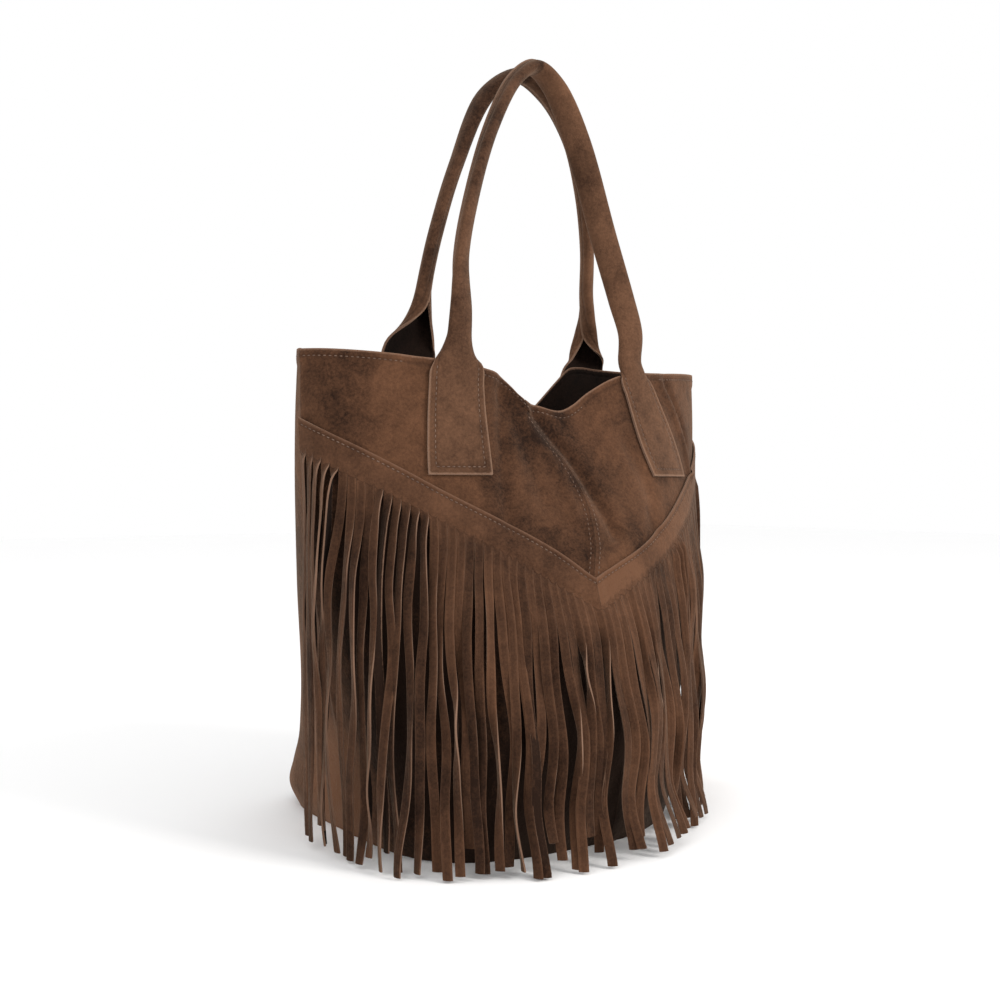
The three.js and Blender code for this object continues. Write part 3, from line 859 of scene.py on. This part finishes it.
def rolled(face, side, height):
    """How far the strip is rolled up at each height of one of its ends."""
    return ease(*NECKS[face][side], height)


def bent(roll, across):
    """The angle through which the strip is bent, and how one edge stands over the other."""
    turn = np.maximum(roll, LEAST_ROLL) * 2 * np.pi * TUBE_TURN
    return turn, 1 + LAP * 2 * across * roll * np.abs(2 * across)


def spread(roll, across):
    """How far a point of the strip stands to the side, by how far the strip is rolled up."""
    turn, lap = bent(roll, across)
    return STRIP_WIDTH / turn * np.sin(across * turn) * (1 + (OVAL_WIDE - 1) * roll) * lap


def on_tab(face, side, height, sideways):
    """Points of a tab, 'sideways' nearer the middle of the bag than the tab's middle line."""
    distance, slant = TABS[face][side]
    drop = np.clip((SEAM_TOP - height) / (SEAM_TOP - TAB_BOTTOM), 0, 1)
    reach = WALLS[face].reach(side, height)
    share = np.clip((distance + slant * drop - sideways) / reach, 0, 1)
    return lay(face, share * SIGN[side], height, TAB_OFFSET, follow=0.0)


def smooth_line(stops, steps):
    """A centripetal curve through the stops. Gives its points and where each lies in the list."""
    ends = np.vstack([2 * stops[0] - stops[1], stops, 2 * stops[-1] - stops[-2]])
    points, places = [], []
    for i in range(len(stops) - 1):
        a, b, c, d = ends[i:i + 4]
        ab, bc, cd = (math.sqrt(np.linalg.norm(q - p)) for p, q in ((a, b), (b, c), (c, d)))
        start = ((b - a) / ab - (c - a) / (ab + bc) + (c - b) / bc) * bc
        end = ((c - b) / bc - (d - b) / (bc + cd) + (d - c) / cd) * bc
        t = np.linspace(0, 1, steps, endpoint=i == len(stops) - 2)[:, None]
        points.append(b + start * t + (3 * (c - b) - 2 * start - end) * t ** 2
                      + (2 * (b - c) + start + end) * t ** 3)
        places.append(i + t[:, 0])
    return np.concatenate(points), np.concatenate(places)


def run_of(line):
    """Distance along a line of points at each of them."""
    return np.concatenate([[0], np.cumsum(np.linalg.norm(np.diff(line, axis=0), axis=1))])


def at_run(place, run, line):
    """Values of a line at places along its run."""
    return np.array([np.interp(place, run, line[:, k]) for k in range(3)]).T


def make_handle(name, face, route, rows=300, columns=33):
    """One handle with its tabs, from the foot of the left tab to the foot of the right."""
    rim = CLEAR_OF_RIM[face]
    tab_heights = np.array([TAB_BOTTOM, (TAB_BOTTOM + rim) / 2, rim, rim + FOLLOW_ABOVE])
    left_tab = on_tab(face, LEFT, tab_heights, 0)[0]
    right_tab = on_tab(face, RIGHT, tab_heights, 0)[0][::-1]
    start = 0 if face == FRONT else 180
    stops = np.vstack([left_tab, route[:, :3], right_tab])
    headings = np.concatenate([np.full(4, start), route[:, 3], np.full(4, start + 180)])
    dense, place = smooth_line(stops, 60)
    run = run_of(dense)
    along = np.linspace(0, run[-1], rows)
    middle = at_run(along, run, dense)
    stop = np.interp(along, run, place)
    heading = np.interp(stop, np.arange(len(headings)), headings)
    smooth = np.exp(-np.linspace(-2, 2, 2 * HEADING_BLUR + 1) ** 2)
    padded = np.pad(heading, HEADING_BLUR, mode="edge")
    heading = np.radians(np.convolve(padded, smooth / smooth.sum(), mode="valid"))
    tangent = np.gradient(middle, along, axis=0)
    tangent /= np.linalg.norm(tangent, axis=1)[:, None]
    wide = np.column_stack([np.cos(heading), np.sin(heading), np.zeros(rows)])
    wide -= tangent * (wide * tangent).sum(axis=1)[:, None]
    wide /= np.linalg.norm(wide, axis=1)[:, None]
    outside = np.cross(wide, tangent)
    height = middle[:, 2]
    first_half = np.arange(rows) < rows // 2
    roll = np.where(first_half, rolled(face, LEFT, height), rolled(face, RIGHT, height))
    tuck = np.where(first_half, tucked(face, LEFT, height), tucked(face, RIGHT, height))
    lift = ease(rim - LIFT_BELOW, rim + LIFT_ABOVE, height)[:, None]
    points, outs = [], []
    for across in np.linspace(-0.5, 0.5, columns):
        turn, lap = bent(roll, across)
        angle = across * turn
        sideways = spread(roll, across)
        inward = STRIP_WIDTH / turn * (1 - np.cos(angle) * lap - roll) * (1 + (OVAL_DEEP - 1) * roll)
        point = middle + wide * sideways[:, None] - outside * inward[:, None]
        out = wide * np.sin(angle)[:, None] + outside * np.cos(angle)[:, None]
        flat_point, flat_out = np.empty_like(point), np.empty_like(point)
        for side, part in ((LEFT, slice(None, rows // 2)), (RIGHT, slice(rows // 2, None))):
            flat_point[part], flat_out[part] = on_tab(
                face, side, height[part], -face * (sideways * tuck)[part])
        flat_point += flat_out * (ROLL_SWELL * roll * np.cos(np.pi * across))[:, None]
        point = flat_point * (1 - lift) + point * lift
        out = flat_out * (1 - lift) + out * lift
        points.append(point)
        outs.append(out)
    point, out = np.stack(points, axis=1), np.stack(outs, axis=1)
    places = (np.linspace(-0.5, 0.5, columns) + 0.5) * STRIP_WIDTH
    flat = np.stack([np.tile(places, (rows, 1)), np.tile(along[:, None], (1, columns))], axis=-1)
    to_end = np.minimum(along, along[-1] - along)[:, None]
    raw = np.minimum(np.minimum(places, STRIP_WIDTH - places)[None], to_end)
    # Painted light by end: the left darker, the right paler.
    shade = ARM_WAVE * np.sin(np.linspace(0, ARM_WAVE_LONG, rows)) + np.where(
        first_half, ARM_PAINTED_LIGHT[LEFT], ARM_PAINTED_LIGHT[RIGHT])
    shade = shade[:, None] * np.ones(columns)
    return sheet_from_grid(name, point, out, SUEDE, HANDLE_SUEDE, flat, raw, shade)


front_handle = make_handle("front_handle_suede", FRONT, FRONT_ROUTE)
rear_handle = make_handle("rear_handle_suede", BACK, REAR_ROUTE)
for piece, node in ((front_handle, "front_handle"), (rear_handle, "rear_handle")):
    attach(piece, "root")
    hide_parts(node)


# ---- Stitching ----
# Waxed brown thread in stitches of 2.6 mm: along the turned top edge, down both sides of the
# middle seams, along the V, and round the three sewn sides of each tab.

STITCH_PITCH, STITCH_LENGTH, STITCH_THICK = 0.0042, 0.0026, 0.00080
# A stitch from end to end: place, size and rise.
STITCH_SHAPE = ((-0.5, 0.45, -0.6), (-0.32, 1.0, 0.1), (0.0, 1.1, 0.3), (0.32, 1.0, 0.1),
                (0.5, 0.45, -0.6))
STITCH_SIDES, STITCH_FLAT = 6, 0.7
HEM_RISE = 0.0018
BESIDE_SEAM = 0.0040
SEAM_ROWS = {FRONT: (V_POINT + 0.002, 0.332), BACK: (0.004, 0.318)}
BELOW_RIM = 0.004  # a tab's rows end this far below the rim
THREAD_DEEP, THREAD_PALE = (0.065, 0.036, 0.024, 1), (0.165, 0.102, 0.070, 1)
PLY, PATCHES = 900, 60


def thread_finish():
    finish = Finish("stitch_thread")
    place = finish.node("ShaderNodeTexCoord", {}, output=3)
    ply = finish.noise(place, PLY, 2, 0.6)
    patch = finish.stretch(finish.noise(place, PATCHES, 2), 0.35, 0.65)
    colour = finish.blend(patch * 0.6 + ply * 0.4, THREAD_DEEP, THREAD_PALE)
    normal = finish.node("ShaderNodeBump", {}, Strength=0.4, Distance=0.0002, Height=ply)
    finish.set(Base_Color=colour, Normal=normal, Roughness=0.7, Specular_IOR_Level=0.3)
    return finish.material


THREAD = thread_finish()


def stitch_rows(name, rows):
    """One mesh of stitches along rows, each given by points on the suede and their facings."""
    sides = STITCH_SIDES
    ring = [(math.cos(a), math.sin(a)) for a in np.arange(sides) * math.tau / sides]
    points, faces = [], []
    for line, facings in rows:
        run = run_of(line)
        for middle in np.arange(STITCH_PITCH / 2, run[-1], STITCH_PITCH):
            start, spot, end = (at_run(middle + step, run, line)
                                for step in (-STITCH_LENGTH / 2, 0, STITCH_LENGTH / 2))
            up = at_run(middle, run, facings)
            up /= np.linalg.norm(up)
            ahead = (end - start) / np.linalg.norm(end - start)
            side = np.cross(up, ahead)
            first = len(points)
            for along, size, rise in STITCH_SHAPE:
                centre = spot + ahead * along * STITCH_LENGTH + up * rise * STITCH_THICK / 2
                for c, t in ring:
                    points.append(
                        centre + (side * c + up * t * STITCH_FLAT) * size * STITCH_THICK / 2)
            for low in range(first, len(points) - sides, sides):
                for n in range(sides):
                    beside, above = (n + 1) % sides, low + sides
                    faces.append((low + n, low + beside, above + beside, above + n))
            faces.append(list(range(first + sides - 1, first - 1, -1)))
            faces.append(list(range(len(points) - sides, len(points))))
    mesh = bpy.data.meshes.new(name)
    mesh.from_pydata([tuple(point) for point in points], [], faces)
    mesh.shade_smooth()
    mesh.materials.append(THREAD)
    piece = put_in_scene(name, mesh)
    bpy.ops.object.mode_set(mode="EDIT")
    bpy.ops.mesh.select_all(action="SELECT")
    bpy.ops.mesh.normals_make_consistent(inside=False)
    bpy.ops.object.mode_set(mode="OBJECT")
    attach(piece, "root")
    return piece


def hem_row(face, first, last, steps=120):
    across = np.linspace(first, last, steps)
    return lay(face, across, rim_height(face, across) - HEM_STITCHING, HEM_RISE)


def seam_row(face, beside, steps=80):
    height = np.linspace(*SEAM_ROWS[face], steps)
    side = LEFT if beside < 0 else RIGHT
    return lay(face, beside / WALLS[face].reach(side, height), height, SUEDE / 2)


def edge_row(first, last, steps=120):
    across = np.linspace(first, last, steps)
    return lay(FRONT, across, edge_height(across) - FRINGE_STITCHING,
               FRINGE_OFFSET + FRINGE_SUEDE / 2)


def tab_row(face, side, steps=40, foot_steps=22):
    """Down one side of a tab, along its foot and up the other side."""
    top, foot = CLEAR_OF_RIM[face] - BELOW_RIM, TAB_BOTTOM + HANDLE_STITCHING
    across = np.concatenate([np.full(steps, -1.0), np.linspace(-1, 1, foot_steps + 2)[1:-1],
                             np.full(steps, 1.0)])
    height = np.concatenate([np.linspace(top, foot, steps), np.full(foot_steps, foot),
                             np.linspace(foot, top, steps)])
    roll = rolled(face, side, height)
    share = across * (0.5 - HANDLE_STITCHING / STRIP_WIDTH)
    point, out = on_tab(face, side, height,
                        -face * spread(roll, share) * tucked(face, side, height))
    return point + out * (SUEDE / 2 + ROLL_SWELL * roll * np.cos(np.pi * share))[:, None], out


stitch_rows("top_edge_stitches", [hem_row(FRONT, -0.99, -0.62), hem_row(FRONT, -0.25, 0.23),
                                  hem_row(FRONT, 0.56, 0.99), hem_row(BACK, -0.99, 0.99)])
stitch_rows("middle_seam_stitches", [seam_row(face, beside) for face in (FRONT, BACK)
                                     for beside in (-BESIDE_SEAM, BESIDE_SEAM)])
stitch_rows("fringe_stitches", [edge_row(-0.99, -0.004), edge_row(0.004, 0.99)])
stitch_rows("tab_stitches", [tab_row(face, side) for face in (FRONT, BACK)
                             for side in (LEFT, RIGHT)])
